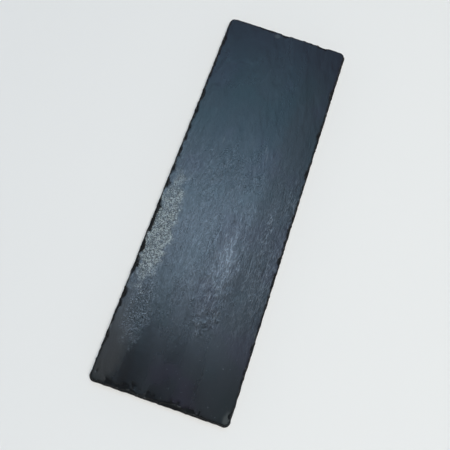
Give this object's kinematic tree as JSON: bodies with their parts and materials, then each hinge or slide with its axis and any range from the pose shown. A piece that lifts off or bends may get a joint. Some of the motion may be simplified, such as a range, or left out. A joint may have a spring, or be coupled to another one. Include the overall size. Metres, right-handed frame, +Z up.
{
  "type": "slate work slab",
  "caption": "Long thin rectangular slab of split dark stone with a flat work face, scooped hand-dressed edges and round non-slip feet underneath.",
  "frame": {"origin": "on the bench, under the middle of the slab", "axes": "+Y along the slab's length away from the user, +X across its width to the user's right, +Z up out of the work face"},
  "size_m": [0.098, 0.3, 0.0077],
  "materials": {
    "slate": "satin",
    "foot_rubber": "matte",
    "foam_tape": "matte"
  },
  "bodies": {
    "root": {"slab": "slate", "foot_front_left": "foot_rubber", "foot_front_right": "foot_rubber", "foot_back_left": "foot_rubber", "foot_back_right": "foot_rubber", "tape_front_left": "foam_tape", "tape_front_right": "foam_tape", "tape_back_left": "foam_tape", "tape_back_right": "foam_tape"}
  },
  "joints": []
}
